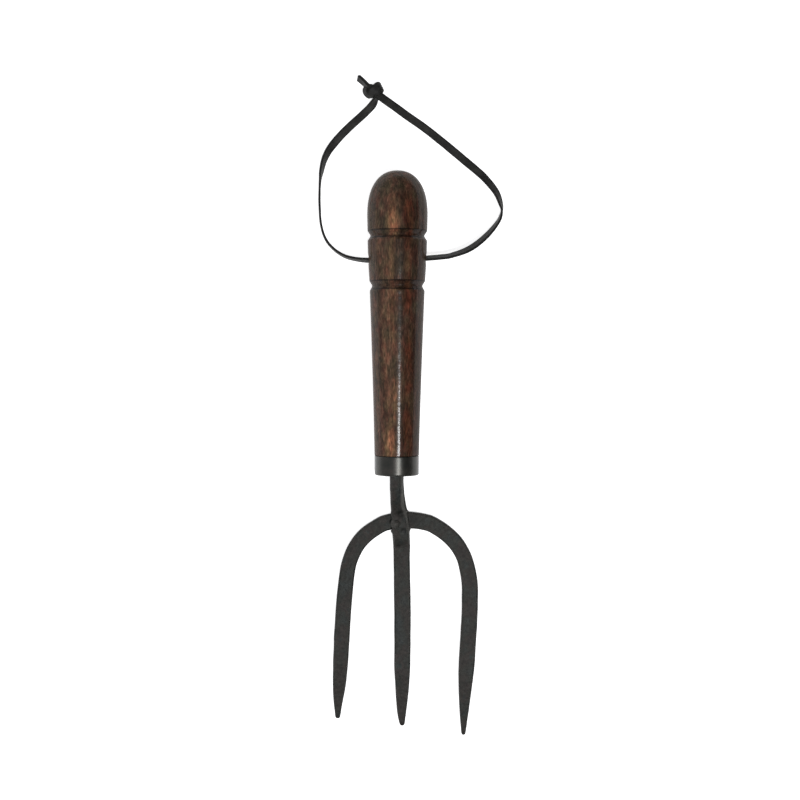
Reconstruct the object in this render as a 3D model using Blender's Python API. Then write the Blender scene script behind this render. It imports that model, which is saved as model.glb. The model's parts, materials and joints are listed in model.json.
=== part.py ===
"""Garden hand fork: turned wooden handle, steel ferrule, three forged tines and a leather thong.

The fork lies flat on its tines and its handle. +Y runs along the handle to the knob, +X is to the
right when the fork is seen from above, +Z is up. The origin is on the table under the middle of the
fork's box, thong left out. Sizes are in millimetres, and MM turns them into Blender's metres.
"""

import math

import bmesh
import bpy
from mathutils import Vector

MM = 0.001
GAP = 0.3

# The handle's axis: it leaves the ferrule at AXIS_START and rises towards the knob, because the knob
# is thicker than the ferrule and both lie on the table.
AXIS_START = Vector((-4.64, 0.3, 12.3))
AXIS_PITCH = math.radians(1.75)
AXIS_YAW = math.radians(0.17)

# Handle, by distance along its axis from the ferrule's rim.
HANDLE_LENGTH = 150.7
WAIST_RADIUS = 11.83
TAPER_END = 87.3
TAPER_END_RADIUS = 14.53
TAPER_CURVE = 1.2
LOWER_GROOVE = {"low": 87.3, "high": 92.5, "floor": 13.2, "high_radius": 14.76}
BAND_BULGE = 0.12
UPPER_GROOVE = {"low": 113.7, "high": 118.9, "floor": 14.15, "low_radius": 15.75, "high_radius": 15.8}
GROOVE_FLOOR = 1.2
GROOVE_EASE = 0.15
KNOB_RADIUS = 16.0
DOME_START = 127.0
DOME_POWER = 2.2
DOME_STEPS = 14
DOME_CROWDING = 1.4
SPIGOT_RADIUS = 10.3
SPIGOT_LENGTH = 8.6
TANG_BORE_DEPTH = 74.0
TANG_BORE_RADII = (3.6, 2.3)
CROSS_HOLE_ALONG = 104.0
CROSS_HOLE_RADIUS = 2.9

# Ferrule: a cup, closed end towards the tines.
FERRULE_RADIUS = 11.8
FERRULE_LENGTH = 10.4
FERRULE_WALL = 1.2
FERRULE_FLOOR = 1.4
FERRULE_HOLE_RADIUS = 3.55
FERRULE_CORNER = 0.8

# Forged bars. A tang station is (distance along the handle's axis, half width, chamfer), and a shank
# station is (x, y, centre height, half width, half thickness, chamfer).
TINE_THICKNESS = 4.5
TANG_STATIONS = (
    (70.0, 1.2, 0.3),
    (-10.6, 2.3, 0.5),
)
SHANK_STATIONS = (
    (-4.70, -10.9, 11.95, 3.70, 3.50, 1.0),
    (-4.70, -14.5, 11.60, 3.70, 3.40, 1.1),
    (-4.40, -20.0, 10.40, 3.80, 3.15, 1.1),
    (-3.95, -25.5, 8.70, 4.10, 2.80, 1.0),
    (-3.20, -31.0, 7.10, 4.40, 2.15, 0.8),
    (-2.70, -35.0, 6.70, 4.50, 1.90, 0.7),
    (-2.45, -39.5, 6.70, 4.70, 1.90, 0.7),
    (-2.25, -43.2, 5.35, 4.60, 2.10, 0.8),
    (-2.10, -46.5, 3.20, 4.55, 2.20, 0.8),
    (-2.05, -49.6, 2.25, 4.50, 2.25, 0.8),
    (-1.95, -57.0, 2.25, 4.40, 2.25, 0.8),
    (-1.55, -86.0, 2.25, 4.50, 2.25, 0.8),
    (-1.65, -114.0, 2.25, 4.33, 2.25, 0.8),
    (-1.70, -122.0, 1.95, 3.95, 1.95, 0.7),
    (-1.85, -132.0, 1.55, 3.15, 1.55, 0.6),
    (-1.95, -140.0, 1.20, 2.30, 1.20, 0.5),
    (-1.75, -145.9, 0.90, 1.15, 0.90, 0.3),
)
# The U-shaped bar, from the left tip over the arch to the right tip: (x, y, half width).
ARCH_ROUTE = (
    (-36.6, -142.2, 1.20),
    (-36.2, -132.0, 2.60),
    (-35.5, -122.0, 3.60),
    (-34.9, -112.0, 3.98),
    (-34.0, -94.0, 4.20),
    (-32.8, -76.0, 4.15),
    (-30.8, -60.0, 4.08),
    (-28.5, -53.0, 4.15),
    (-25.4, -47.5, 4.20),
    (-21.4, -43.0, 4.25),
    (-16.3, -39.3, 4.18),
    (-10.6, -36.4, 4.25),
    (0.6, -34.85, 4.42),
    (12.0, -36.4, 4.28),
    (18.1, -39.5, 4.28),
    (23.2, -43.2, 4.25),
    (27.4, -47.7, 4.20),
    (30.8, -53.3, 4.20),
    (33.0, -59.5, 4.25),
    (34.6, -69.0, 4.33),
    (34.7, -80.0, 4.30),
    (34.1, -95.0, 4.26),
    (33.1, -111.0, 4.30),
    (32.4, -122.0, 3.78),
    (31.8, -134.0, 2.80),
    (31.3, -151.1, 1.00),
)
ARCH_CHAMFER = 0.8
WIDEST_CHAMFER = 0.6
TIP_TAPER = 30.0
TIP_HALF_THICKNESS = 0.9
STATION_SPACING = 4.0

# Rivet, left of the pad's middle.
RIVET_AT = (-5.1, -36.5)
RIVET_RADIUS = 1.15
RIVET_HEAD_RADIUS = 2.55
RIVET_HEAD_HEIGHT = 1.7
RIVET_TAIL_RADIUS = 2.0
RIVET_TAIL_HEIGHT = 1.0
PAD_TOP = 8.6

# Thong: a flat lace 4.3 wide and 1.2 thick. Its runs are round here, of the same section area.
LACE_WIDTH = 4.3
LACE_THICKNESS = 1.2
LACE_CHAMFER = 0.3
RUN_RADIUS = 1.28
RUN_SPACING = 4.5
LEFT_ROUTE = (
    (-4.7, 104.2, 15.45),
    (-12.0, 104.0, 15.40),
    (-20.0, 103.8, 15.10),
    (-26.2, 104.4, 14.40),
    (-32.2, 106.1, 13.10),
    (-37.8, 109.8, 11.20),
    (-42.4, 115.3, 9.20),
    (-45.1, 123.4, 6.90),
    (-46.1, 134.4, 4.60),
    (-46.0, 145.5, 3.20),
    (-44.8, 155.7, 2.20),
    (-40.6, 165.4, 1.70),
    (-35.4, 171.9, 1.40),
    (-29.0, 178.3, 1.35),
    (-21.9, 184.7, 1.60),
    (-18.2, 188.6, 2.40),
    (-16.8, 191.2, 3.10),
)
RIGHT_ROUTE = (
    (-4.1, 104.3, 15.45),
    (3.5, 104.5, 15.42),
    (11.4, 104.9, 15.20),
    (18.0, 105.5, 14.70),
    (24.0, 106.4, 13.90),
    (34.3, 110.4, 11.60),
    (43.5, 117.8, 8.60),
    (49.8, 125.7, 6.10),
    (51.5, 134.0, 4.30),
    (48.9, 141.6, 3.20),
    (43.0, 149.2, 2.30),
    (32.1, 158.9, 1.60),
    (20.5, 168.6, 1.35),
    (10.2, 176.7, 1.35),
    (0.7, 183.3, 1.50),
    (-5.9, 188.0, 2.00),
    (-12.1, 192.3, 3.10),
)
KNOT_CENTRE = (-17.3, 196.3, 3.3)
KNOT_HALF = (5.0, 3.7, 3.2)
KNOT_TURN = math.radians(-35.0)
TAIL_ROOT = (-21.5, 199.3)
TAIL_END = (-25.7, 203.7)
TAIL_HEIGHTS = {"thong_tail_lower": 2.0, "thong_tail_upper": 3.8}

WOOD_BROWN = (0.085, 0.045, 0.027)
FERRULE_BLACK = (0.040, 0.040, 0.037)
IRON_BLACK = (0.021, 0.021, 0.018)
LEATHER_BLACK = (0.022, 0.0215, 0.0205)

TURNED_STEPS = 44
SMALL_TURNED_STEPS = 20


def clear_scene():
    for obj in list(bpy.data.objects):
        bpy.data.objects.remove(obj, do_unlink=True)


def add_object(name, data, parent=None):
    obj = bpy.data.objects.new(name, data)
    bpy.context.scene.collection.objects.link(obj)
    obj.parent = parent
    return obj


def add_empty(name, at, rotation=(0.0, 0.0, 0.0)):
    empty = add_object(name, None)
    empty.location = Vector(at) * MM
    empty.rotation_euler = rotation
    return empty


def paint(obj, colour, roughness, metallic):
    material = bpy.data.materials.new(obj.name + "_finish")
    material.use_nodes = True
    shader = material.node_tree.nodes["Principled BSDF"]
    shader.inputs["Base Color"].default_value = (*colour, 1.0)
    shader.inputs["Roughness"].default_value = roughness
    shader.inputs["Metallic"].default_value = metallic
    obj.data.materials.append(material)


def mesh_from(name, bm):
    mesh = bpy.data.meshes.new(name)
    bmesh.ops.recalc_face_normals(bm, faces=bm.faces)
    bm.to_mesh(mesh)
    bm.free()
    mesh.shade_smooth()
    mesh.set_sharp_from_angle(angle=math.radians(30.0))
    return mesh


def turned(name, profile, closed_profile, steps, parent=None):
    """A piece turned round its own Z from (radius, height) points that run down its outer side."""
    mesh = bpy.data.meshes.new(name)
    points = [(radius * MM, 0.0, height * MM) for radius, height in profile]
    edges = [(i, i + 1) for i in range(len(points) - 1)]
    if closed_profile:
        edges.append((len(points) - 1, 0))
    mesh.from_pydata(points, edges, [])
    obj = add_object(name, mesh, parent)
    screw = obj.modifiers.new("turn", "SCREW")
    screw.axis = "Z"
    screw.steps = steps
    screw.render_steps = steps
    screw.use_merge_vertices = True
    screw.merge_threshold = 0.00005
    screw.use_smooth_shade = True
    return obj


def cut_with(obj, cutter):
    cutter.hide_render = True
    cutter.display_type = "WIRE"
    boolean = obj.modifiers.new("cut_" + cutter.name, "BOOLEAN")
    boolean.operation = "DIFFERENCE"
    boolean.object = cutter


def smooth_stations(keys, spacing):
    """Stations no further apart than spacing on a smooth curve through the keys, keys included.

    A key's numbers are its place and its sizes, which all change smoothly.
    """
    keys = [Vector(key) for key in keys]
    at = [0.0]
    for before, after in zip(keys, keys[1:]):
        at.append(at[-1] + (after - before).length)
    slopes = []
    for i in range(len(keys)):
        low, high = max(i - 1, 0), min(i + 1, len(keys) - 1)
        slopes.append((keys[high] - keys[low]) / (at[high] - at[low]))
    stations = []
    for i in range(len(keys) - 1):
        span = at[i + 1] - at[i]
        pieces = max(1, math.ceil(span / spacing))
        for piece in range(pieces):
            u = piece / pieces
            stations.append(
                keys[i] * (2 * u**3 - 3 * u**2 + 1)
                + slopes[i] * span * (u**3 - 2 * u**2 + u)
                + keys[i + 1] * (3 * u**2 - 2 * u**3)
                + slopes[i + 1] * span * (u**3 - u**2)
            )
    return stations + [keys[-1]]


def bar_section(centre, across, half_width, half_thickness, chamfer):
    """The eight corners of a flat bar's section with chamfered edges."""
    wide, tall = half_width - chamfer, half_thickness - chamfer
    corners = (
        (half_width, -tall), (half_width, tall), (wide, half_thickness), (-wide, half_thickness),
        (-half_width, tall), (-half_width, -tall), (-wide, -half_thickness), (wide, -half_thickness),
    )
    return [(centre + across * side + Vector((0, 0, up))) * MM for side, up in corners]


def loft(name, sections, parent=None):
    bm = bmesh.new()
    rings = [[bm.verts.new(corner) for corner in section] for section in sections]
    for ring, following in zip(rings, rings[1:]):
        for i in range(len(ring)):
            j = (i + 1) % len(ring)
            bm.faces.new((ring[i], ring[j], following[j], following[i]))
    bm.faces.new(rings[0])
    bm.faces.new(rings[-1])
    return add_object(name, mesh_from(name, bm), parent)


def axis_point(along):
    """The point of the handle's axis this far from the ferrule's rim, towards the knob."""
    level = along * math.cos(AXIS_PITCH)
    return AXIS_START + Vector((
        level * math.sin(AXIS_YAW),
        level * math.cos(AXIS_YAW),
        along * math.sin(AXIS_PITCH),
    ))


def groove(low, high, low_radius, high_radius, floor):
    """A turned V with a narrow round floor, from its upper edge to its lower edge."""
    middle = (low + high) / 2
    half = GROOVE_FLOOR / 2
    return [
        (high_radius, high),
        (floor + GROOVE_EASE, middle + half),
        (floor, middle),
        (floor + GROOVE_EASE, middle - half),
        (low_radius, low),
    ]


def handle_profile():
    """Down the outside from the knob's pole to the spigot, then up the tang's bore to its end."""
    dome_length = HANDLE_LENGTH - DOME_START
    profile = []
    for step in range(DOME_STEPS + 1):
        turn = math.pi / 2 * (step / DOME_STEPS) ** DOME_CROWDING
        profile.append((
            KNOB_RADIUS * math.sin(turn) ** (2 / DOME_POWER),
            DOME_START + dome_length * max(math.cos(turn), 0.0) ** (2 / DOME_POWER),
        ))
    upper, lower = UPPER_GROOVE, LOWER_GROOVE
    profile += groove(
        upper["low"], upper["high"], upper["low_radius"], upper["high_radius"], upper["floor"]
    )
    band_middle = (upper["low"] + lower["high"]) / 2
    profile.append(((upper["low_radius"] + lower["high_radius"]) / 2 + BAND_BULGE, band_middle))
    profile += groove(
        lower["low"], lower["high"], TAPER_END_RADIUS, lower["high_radius"], lower["floor"]
    )
    taper_steps = 6
    for step in range(taper_steps - 1, 0, -1):
        share = step / taper_steps
        grown = (TAPER_END_RADIUS - WAIST_RADIUS) * share**TAPER_CURVE
        profile.append((WAIST_RADIUS + grown, TAPER_END * share))
    profile += [
        (WAIST_RADIUS, GAP / 2),
        (SPIGOT_RADIUS, GAP / 2),
        (SPIGOT_RADIUS, -SPIGOT_LENGTH),
        (TANG_BORE_RADII[0], -SPIGOT_LENGTH),
        (TANG_BORE_RADII[1], TANG_BORE_DEPTH - 2),
        (0.0, TANG_BORE_DEPTH),
    ]
    return profile


def make_handle(axis):
    handle = turned("handle", handle_profile(), False, TURNED_STEPS, axis)
    paint(handle, WOOD_BROWN, 0.35, 0.0)
    bm = bmesh.new()
    radius = CROSS_HOLE_RADIUS * MM
    bmesh.ops.create_cone(
        bm, cap_ends=True, segments=SMALL_TURNED_STEPS, radius1=radius, radius2=radius,
        depth=3 * KNOB_RADIUS * MM,
    )
    cutter = add_object("cross_hole_cutter", mesh_from("cross_hole_cutter", bm), axis)
    cutter.location = (0.0, 0.0, CROSS_HOLE_ALONG * MM)
    cutter.rotation_euler = (0.0, math.pi / 2, 0.0)
    cut_with(handle, cutter)


def make_ferrule(axis):
    inner = FERRULE_RADIUS - FERRULE_WALL
    bottom = -FERRULE_LENGTH
    profile = [(inner, -GAP / 2), (FERRULE_RADIUS, -GAP / 2)]
    corner_steps = 4
    for step in range(corner_steps + 1):
        turn = math.pi / 2 * step / corner_steps
        profile.append((
            FERRULE_RADIUS - FERRULE_CORNER * (1 - math.cos(turn)),
            bottom + FERRULE_CORNER * (1 - math.sin(turn)),
        ))
    profile += [
        (FERRULE_HOLE_RADIUS, bottom),
        (FERRULE_HOLE_RADIUS, bottom + FERRULE_FLOOR),
        (inner, bottom + FERRULE_FLOOR),
    ]
    ferrule = turned("ferrule", profile, True, TURNED_STEPS, axis)
    paint(ferrule, FERRULE_BLACK, 0.3, 0.3)


def make_centre_tine(rivet_cutter):
    """Tang, shank, crank, pad, joggle and middle tine: one forging."""
    sideways = Vector((1.0, 0.0, 0.0))
    sections = [
        bar_section(axis_point(along), sideways, half, half, chamfer)
        for along, half, chamfer in TANG_STATIONS
    ]
    for x, y, z, half_width, half_thickness, chamfer in smooth_stations(SHANK_STATIONS, STATION_SPACING):
        centre = Vector((x, y, max(z, half_thickness)))
        sections.append(bar_section(centre, sideways, half_width, half_thickness, chamfer))
    tine = loft("centre_tine", sections)
    paint(tine, IRON_BLACK, 0.5, 0.9)
    cut_with(tine, rivet_cutter)


def make_outer_tines(rivet_cutter):
    """One flat bar bent to a U: both outer tines and the arch that joins them."""
    stations = smooth_stations(ARCH_ROUTE, STATION_SPACING)
    tip_left, tip_right = stations[0].y, stations[-1].y
    sections = []
    for i, (x, y, half_width) in enumerate(stations):
        before, after = stations[max(i - 1, 0)], stations[min(i + 1, len(stations) - 1)]
        along = Vector((after.x - before.x, after.y - before.y, 0.0)).normalized()
        tip = tip_left if i < len(stations) / 2 else tip_right
        share = min((y - tip) / TIP_TAPER, 1.0)
        half_thickness = TIP_HALF_THICKNESS + (TINE_THICKNESS / 2 - TIP_HALF_THICKNESS) * share
        chamfer = ARCH_CHAMFER * half_thickness / (TINE_THICKNESS / 2)
        across = Vector((along.y, -along.x, 0.0))
        sections.append(
            bar_section(
                Vector((x, y, half_thickness)), across, half_width, half_thickness,
                min(chamfer, WIDEST_CHAMFER * half_width),
            )
        )
    tines = loft("outer_tines", sections)
    paint(tines, IRON_BLACK, 0.5, 0.9)
    cut_with(tines, rivet_cutter)


def make_rivet():
    """The rivet, with the cutter that makes its holes and the countersink for its tail."""
    at = Vector((*RIVET_AT, 0.0)) * MM
    head_steps = 6
    seat = PAD_TOP + GAP
    profile = []
    for step in range(head_steps + 1):
        turn = math.pi / 2 * step / head_steps
        profile.append((RIVET_HEAD_RADIUS * math.sin(turn), seat + RIVET_HEAD_HEIGHT * math.cos(turn)))
    profile += [
        (RIVET_RADIUS, seat),
        (RIVET_RADIUS, RIVET_TAIL_HEIGHT),
        (RIVET_TAIL_RADIUS, GAP / 2),
        (0.0, GAP / 2),
    ]
    rivet = turned("rivet", profile, False, SMALL_TURNED_STEPS)
    rivet.location = at
    paint(rivet, IRON_BLACK, 0.45, 0.9)
    hole = RIVET_RADIUS + GAP
    cutter = turned(
        "rivet_cutter",
        [
            (0.0, 2 * PAD_TOP),
            (hole, 2 * PAD_TOP),
            (hole, RIVET_TAIL_HEIGHT + GAP),
            (RIVET_TAIL_RADIUS + GAP, GAP / 2),
            (RIVET_TAIL_RADIUS + GAP, -1.0),
            (0.0, -1.0),
        ],
        False,
        SMALL_TURNED_STEPS,
    )
    cutter.location = at
    return cutter


def make_run(name, route, swing, hinge):
    curve = bpy.data.curves.new(name, "CURVE")
    curve.dimensions = "3D"
    curve.bevel_depth = RUN_RADIUS * MM
    curve.bevel_resolution = 2
    curve.use_fill_caps = True
    points = smooth_stations(route, RUN_SPACING)
    spline = curve.splines.new("POLY")
    spline.points.add(len(points) - 1)
    for point, place in zip(spline.points, points):
        point.co = (*((place - hinge) * MM), 1.0)
    run = add_object(name, curve, swing)
    paint(run, LEATHER_BLACK, 0.5, 0.0)


def make_knot(swing, hinge):
    bm = bmesh.new()
    bmesh.ops.create_uvsphere(bm, u_segments=16, v_segments=10, radius=1.0)
    for vert in bm.verts:
        vert.co = Vector([side * half * MM for side, half in zip(vert.co, KNOT_HALF)])
    knot = add_object("thong_knot", mesh_from("thong_knot", bm), swing)
    knot.location = (Vector(KNOT_CENTRE) - hinge) * MM
    knot.rotation_euler = (0.0, 0.0, KNOT_TURN)
    paint(knot, LEATHER_BLACK, 0.5, 0.0)


def make_tails(swing, hinge):
    root, end = Vector((*TAIL_ROOT, 0.0)), Vector((*TAIL_END, 0.0))
    along = (end - root).normalized()
    across = Vector((along.y, -along.x, 0.0))
    for name, height in TAIL_HEIGHTS.items():
        sections = []
        for place in (root, end):
            centre = place + Vector((0.0, 0.0, height)) - hinge
            sections.append(bar_section(centre, across, LACE_WIDTH / 2, LACE_THICKNESS / 2, LACE_CHAMFER))
        tail = loft(name, sections, swing)
        paint(tail, LEATHER_BLACK, 0.5, 0.0)


def main():
    clear_scene()
    axis = add_empty("handle_axis", AXIS_START, (AXIS_PITCH - math.pi / 2, 0.0, -AXIS_YAW))
    make_handle(axis)
    make_ferrule(axis)
    rivet_cutter = make_rivet()
    make_centre_tine(rivet_cutter)
    make_outer_tines(rivet_cutter)
    hinge = axis_point(CROSS_HOLE_ALONG)
    swing = add_empty("thong_swing", hinge)
    make_run("thong_left_run", LEFT_ROUTE, swing, hinge)
    make_run("thong_right_run", RIGHT_ROUTE, swing, hinge)
    make_knot(swing, hinge)
    make_tails(swing, hinge)


main()
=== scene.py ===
"""A garden hand fork, put together in the order it is made: the turned handle, its ferrule, the forged
tines and their rivet, then the leather thong, and last the table, light and camera."""

import json
import math

import bmesh
import bpy
from mathutils import Euler, Matrix, Vector, noise


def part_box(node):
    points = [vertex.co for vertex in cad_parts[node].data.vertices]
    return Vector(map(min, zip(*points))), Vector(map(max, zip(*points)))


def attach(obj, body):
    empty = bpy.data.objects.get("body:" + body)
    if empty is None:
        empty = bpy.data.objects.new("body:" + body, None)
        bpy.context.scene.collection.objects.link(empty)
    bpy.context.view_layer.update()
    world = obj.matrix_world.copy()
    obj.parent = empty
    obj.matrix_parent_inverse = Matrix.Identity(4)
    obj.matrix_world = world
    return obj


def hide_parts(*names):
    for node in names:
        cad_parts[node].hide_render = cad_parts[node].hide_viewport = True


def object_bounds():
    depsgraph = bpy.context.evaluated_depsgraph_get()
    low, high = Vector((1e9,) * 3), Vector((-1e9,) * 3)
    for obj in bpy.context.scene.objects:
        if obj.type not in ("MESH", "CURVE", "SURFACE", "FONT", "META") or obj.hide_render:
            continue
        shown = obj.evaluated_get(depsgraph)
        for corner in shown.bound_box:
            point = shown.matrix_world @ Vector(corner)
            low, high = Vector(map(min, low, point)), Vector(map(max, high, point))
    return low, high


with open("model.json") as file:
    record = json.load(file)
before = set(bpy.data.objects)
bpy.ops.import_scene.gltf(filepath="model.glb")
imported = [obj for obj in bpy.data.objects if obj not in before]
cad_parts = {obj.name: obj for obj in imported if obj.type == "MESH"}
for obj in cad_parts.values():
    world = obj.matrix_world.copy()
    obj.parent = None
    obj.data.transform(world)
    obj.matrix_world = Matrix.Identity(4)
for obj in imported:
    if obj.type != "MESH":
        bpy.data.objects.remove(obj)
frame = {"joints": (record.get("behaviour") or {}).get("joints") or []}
cad_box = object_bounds()
MM = 0.001

# ----------------------------------------------------------
# The handle: one piece of hardwood turned between centres, with two V grooves that leave a band and
# a domed knob. It is stained walnut brown and lacquered, driven over the tang up to the ferrule, and
# bored across through the band for the thong.
# ----------------------------------------------------------
AXIS_PITCH = math.radians(1.75)
AXIS_YAW = math.radians(0.17)
BORE_ALONG = 104.0
HANDLE_LENGTH = 150.7
WAIST_RADIUS = 11.83
TAPER_END, TAPER_END_RADIUS, TAPER_CURVE = 87.3, 14.53, 1.2
KNOB_RADIUS, DOME_START, DOME_POWER = 16.0, 127.0, 2.32
# (radius, height, easing) of the corners of the band and its two grooves, from the knob down.
BAND_CORNERS = (
    (15.82, 118.9, 0.2), (14.10, 116.3, 0.45), (15.76, 113.7, 0.2), (15.42, 103.0, 4.0),
    (14.76, 92.5, 0.2), (13.15, 89.9, 0.45),
)
SPIGOT_RADIUS, SPIGOT_LENGTH, SHOULDER_GAP = 10.3, 8.6, 0.15
# (radius, height) of the tang's bore: its mouth, the end of its taper and its pointed bottom.
TANG_BORE = ((3.6, -SPIGOT_LENGTH), (2.3, 72.0), (0.0, 74.0))
# The cross bore, how much wider its countersinks end, and how far out they start and end.
CROSS_BORE_RADIUS, COUNTERSINK, SINK_START, SINK_END = 2.9, 2.6, 14.7, 22.0
SAME_PLACE = 1e-6
# The tree's heart, across the handle and below it, and the width of a year's growth.
HEART_AT, RING_WIDTH, RING_START = (2.0, 48.0), 4.0, 0.25
# (middle, half width) of the two grooves along the handle.
GROOVES = ((116.87, 1.88), (90.17, 2.18))
# (centre, half sizes, share) of each rubbed spot: across, below the axis and along.
WORN_SPOTS = (
    ((-2.2, -14.5, 122.5), (4.8, 7.0, 9.5), 0.80), ((-3.6, -11.5, 7.0), (4.0, 6.0, 13.0), 0.75),
    ((-3.8, -14.5, 102.0), (3.2, 6.0, 13.0), 0.22), ((5.4, -13.5, 101.0), (2.4, 6.0, 11.0), 0.20),
)

thong_joint = next(joint for joint in frame["joints"] if joint["name"] == "thong_swing")
bore_centre = Vector(thong_joint["pos_m"])
axis_turn = Euler((AXIS_PITCH - math.pi / 2, 0.0, -AXIS_YAW))
axis_way = axis_turn.to_matrix() @ Vector((0.0, 0.0, 1.0))
axis_start = bore_centre - axis_way * BORE_ALONG * MM
handle_place = Matrix.Translation(axis_start) @ axis_turn.to_matrix().to_4x4()


def new_object(name, data):
    made = bpy.data.objects.new(name, data)
    bpy.context.scene.collection.objects.link(made)
    return made


def feed(tree, socket, value):
    """Links an input to another node's output, or sets it to a value."""
    if isinstance(value, bpy.types.NodeSocket):
        tree.links.new(value, socket)
    else:
        socket.default_value = value


def feed_all(tree, node, feeds):
    for name, value in feeds.items():
        feed(tree, node.inputs[name], value)


def add_node(tree, kind, feeds=None, **settings):
    """A node with its settings and its inputs."""
    node = tree.nodes.new(kind)
    for name, value in settings.items():
        setattr(node, name, value)
    feed_all(tree, node, feeds or {})
    return node


def add_tree(name, sizes):
    """An empty Geometry Nodes tree with these named inputs, and its input and output nodes."""
    tree = bpy.data.node_groups.new(name, "GeometryNodeTree")
    for size, kind in sizes:
        tree.interface.new_socket(name=size, in_out="INPUT", socket_type="NodeSocket" + kind)
    tree.interface.new_socket(name="Made", in_out="OUTPUT", socket_type="NodeSocketGeometry")
    return tree, tree.nodes.new("NodeGroupInput").outputs, tree.nodes.new("NodeGroupOutput")


def keep_on_points(tree, geometry, **values):
    """Holds vectors or numbers on a geometry's points, so that they can be read after it changes."""
    node = tree.nodes.new("GeometryNodeCaptureAttribute")
    tree.links.new(geometry, node.inputs["Geometry"])
    for name, value in values.items():
        kind = "VECTOR" if value.type == "VECTOR" else "FLOAT"
        node.capture_items.new(kind, name)
        tree.links.new(value, node.inputs[name])
    return node.outputs


def math_node(tree, operation, *values):
    """A Math or Vector Math node: its result's socket."""
    vector = operation.startswith("V_")
    node = tree.nodes.new("ShaderNodeVectorMath" if vector else "ShaderNodeMath")
    node.operation = operation.removeprefix("V_")
    for socket, value in zip(node.inputs, values):
        feed(tree, socket, value)
    return node.outputs[0]


def axes_of(tree, vector):
    return add_node(tree, "ShaderNodeSeparateXYZ", {0: vector}).outputs


def end_tree(tree, last, given, end):
    """The last nodes of a tree: real meshes instead of instances, in the finish it was given."""
    whole = add_node(tree, "GeometryNodeRealizeInstances", {"Geometry": last.outputs[0]})
    done = add_node(
        tree, "GeometryNodeSetMaterial", {"Geometry": whole.outputs[0], "Material": given["Finish"]}
    )
    tree.links.new(done.outputs[0], end.inputs[0])
    return tree


def lathe_tree():
    """Turns a profile of (radius, 0, height) points round Z. The profile's mesh is the input."""
    tree, given, end = add_tree(
        "turned_on_a_lathe",
        (("Profile", "Geometry"), ("Steps Around", "Int"), ("Finish", "Material")),
    )
    line = add_node(tree, "GeometryNodeMeshToCurve", {"Mesh": given["Profile"]})
    here = tree.nodes.new("GeometryNodeInputPosition").outputs[0]
    profile = keep_on_points(tree, line.outputs[0], outline=here)
    circle = add_node(
        tree, "GeometryNodeCurvePrimitiveCircle",
        {"Resolution": given["Steps Around"], "Radius": 1.0}, mode="RADIUS",
    )
    ring = keep_on_points(tree, circle.outputs[0], around=here)
    swept = add_node(
        tree, "GeometryNodeCurveToMesh", {"Curve": ring["Geometry"], "Profile Curve": profile["Geometry"]}
    )
    outline, around = axes_of(tree, profile["outline"]), axes_of(tree, ring["around"])
    place = add_node(
        tree, "ShaderNodeCombineXYZ",
        {
            "X": math_node(tree, "MULTIPLY", outline["X"], around["X"]),
            "Y": math_node(tree, "MULTIPLY", outline["X"], around["Y"]),
            "Z": outline["Z"],
        },
    )
    turned = add_node(
        tree, "GeometryNodeSetPosition", {"Geometry": swept.outputs[0], "Position": place.outputs[0]}
    )
    closed = add_node(
        tree, "GeometryNodeMergeByDistance", {"Geometry": turned.outputs[0], "Distance": SAME_PLACE}
    )
    return end_tree(tree, closed, given, end)


def made_by(tree, source, name, **sizes):
    """Runs a tree on the source mesh and returns the result as a plain mesh object."""
    maker = new_object("maker", source)
    modifier = maker.modifiers.new("make", "NODES")
    modifier.node_group = tree
    wanted = {key.replace("_", " ").title(): value for key, value in sizes.items()}
    for item in tree.interface.items_tree:
        if item.in_out == "INPUT" and item.name in wanted:
            modifier[item.identifier] = wanted.pop(item.name)
    assert not wanted, wanted
    graph = bpy.context.evaluated_depsgraph_get()
    mesh = bpy.data.meshes.new_from_object(maker.evaluated_get(graph))
    bpy.data.objects.remove(maker)
    piece = new_object(name, mesh)
    tidy_faces(piece)
    return piece


def tidy_faces(piece, sharp_angle=40.0):
    """Merges doubles, points the faces outwards and shades them smooth but for the sharp edges."""
    bm = bmesh.new()
    bm.from_mesh(piece.data)
    bmesh.ops.remove_doubles(bm, verts=bm.verts, dist=SAME_PLACE)
    bmesh.ops.recalc_face_normals(bm, faces=bm.faces)
    bm.to_mesh(piece.data)
    bm.free()
    piece.data.shade_smooth()
    piece.data.set_sharp_from_angle(angle=math.radians(sharp_angle))


def eased(corners, steps=5):
    """A line through (radius, height, easing) corners, each rounded off over its easing's length."""
    points = []
    for i, (radius, height, ease) in enumerate(corners):
        corner = Vector((radius, height))
        if ease == 0 or i in (0, len(corners) - 1):
            points.append(corner)
            continue
        before, after = Vector(corners[i - 1][:2]), Vector(corners[i + 1][:2])
        start = corner + (before - corner).normalized() * ease
        finish = corner + (after - corner).normalized() * ease
        for step in range(steps + 1):
            t = step / steps
            points.append(start * (1 - t) ** 2 + corner * 2 * t * (1 - t) + finish * t**2)
    return points


def profile_mesh(name, points, spacing=1.5):
    """A (radius, height) line in millimetres as a mesh of edges, with long stretches divided."""
    spaced = [points[0]]
    for point in points[1:]:
        parts = max(1, math.ceil((point - spaced[-1]).length / spacing))
        start = spaced[-1]
        spaced += [start.lerp(point, part / parts) for part in range(1, parts + 1)]
    mesh = bpy.data.meshes.new(name)
    mesh.from_pydata(
        [(radius * MM, 0.0, height * MM) for radius, height in spaced],
        [(i, i + 1) for i in range(len(spaced) - 1)], [],
    )
    return mesh


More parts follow.
